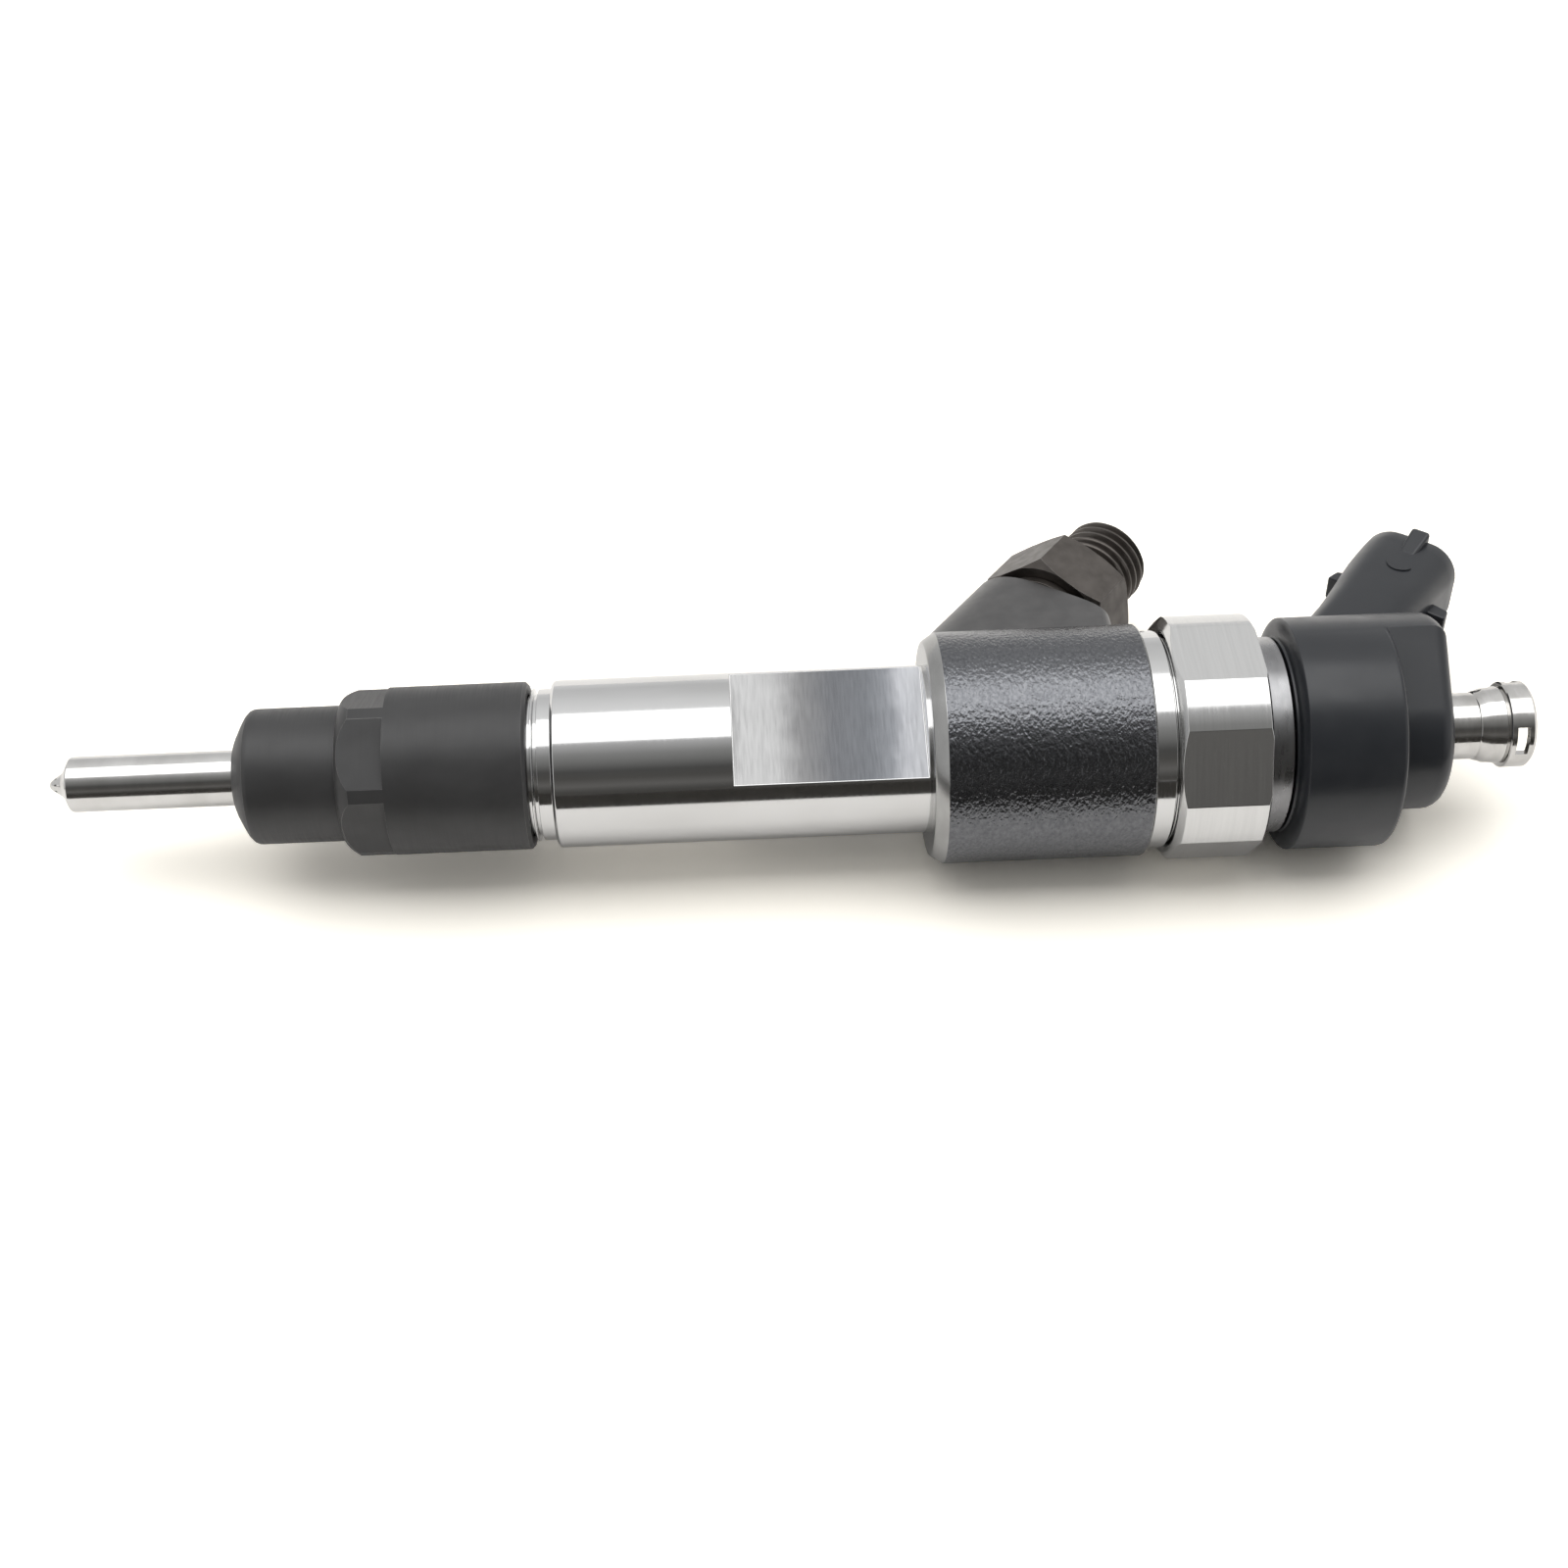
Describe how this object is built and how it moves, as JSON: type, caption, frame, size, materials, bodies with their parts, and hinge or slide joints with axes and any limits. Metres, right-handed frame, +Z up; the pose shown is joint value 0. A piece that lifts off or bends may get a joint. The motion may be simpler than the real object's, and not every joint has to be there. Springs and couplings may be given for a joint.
{
  "type": "fuel injector",
  "caption": "Diesel common-rail fuel injector with a slim barrel, clamp flats, inclined fuel inlet, plug hood and clip-on return fitting.",
  "frame": {"origin": "middle of the part's box in X and Y, on the surface it lies on; the injector's axis is 14.5 mm above it at y = -14.12 mm", "axes": "+X along the injector from spray tip to return fitting, +Y towards the fuel inlet and plug, +Z up, at right angles to the solenoid nut's resting flat"},
  "size_m": [0.1846, 0.0587, 0.029],
  "materials": {
    "polished_steel": "polished",
    "ground_steel": "satin",
    "hard_steel": "polished",
    "spring_steel": "satin",
    "forged_steel": "satin",
    "black_oxide": "satin",
    "sleeve_steel": "satin",
    "phosphate_steel": "matte",
    "soft_iron": "satin",
    "cap_plastic": "satin",
    "bobbin_plastic": "satin",
    "copper_wire": "gloss",
    "tinned_brass": "satin",
    "seal_rubber": "matte"
  },
  "bodies": {
    "housing": {"nozzle_body": "polished_steel", "nozzle_dowel_pin_1": "hard_steel", "nozzle_dowel_pin_2": "hard_steel", "nozzle_retaining_nut": "black_oxide", "needle_spring": "spring_steel", "needle_spring_shim": "hard_steel", "injector_body": "ground_steel", "valve_body": "hard_steel", "valve_body_seal": "seal_rubber", "valve_clamping_screw": "black_oxide", "armature_guide": "soft_iron", "armature_spring": "spring_steel", "lift_shim": "hard_steel", "magnet_core": "soft_iron", "coil_bobbin": "bobbin_plastic", "coil_winding": "copper_wire", "valve_spring": "spring_steel", "valve_spring_shim": "hard_steel", "solenoid_o_ring": "seal_rubber", "solenoid_sleeve": "sleeve_steel", "solenoid_nut": "ground_steel", "solenoid_housing": "cap_plastic", "terminal_blade_1": "tinned_brass", "terminal_blade_2": "tinned_brass", "return_fitting": "polished_steel", "return_fitting_seal": "seal_rubber", "inlet_fitting": "phosphate_steel", "inlet_filter": "hard_steel", "inlet_seal_washer": "phosphate_steel"},
    "needle": {"nozzle_needle": "hard_steel", "pressure_pin": "hard_steel"},
    "piston": {"valve_piston": "hard_steel"},
    "armature": {"armature_pin": "hard_steel", "armature_plate": "soft_iron", "circlip": "spring_steel"},
    "ball": {"valve_ball": "hard_steel", "ball_holder": "hard_steel"}
  },
  "joints": [
    {"name": "needle_lift", "type": "slide", "parent": "housing", "child": "needle", "axis": [1, 0, 0], "range_m": [0, 0.00025], "stiffness_N_per_m": 3000, "deforming": ["needle_spring"]},
    {"name": "piston_lift", "type": "slide", "parent": "housing", "child": "piston", "axis": [1, 0, 0], "range_m": [0, 0.00025]},
    {"name": "armature_lift", "type": "slide", "parent": "housing", "child": "armature", "axis": [1, 0, 0], "range_m": [0, 0.00006], "stiffness_N_per_m": 2000, "deforming": ["valve_spring", "armature_spring"]},
    {"name": "ball_lift", "type": "slide", "parent": "housing", "child": "ball", "axis": [1, 0, 0], "range_m": [0, 0.00006]}
  ],
  "couplings": [
    {"joint": "piston_lift", "follows": "needle_lift", "ratio": 1},
    {"joint": "ball_lift", "follows": "armature_lift", "ratio": 1}
  ]
}
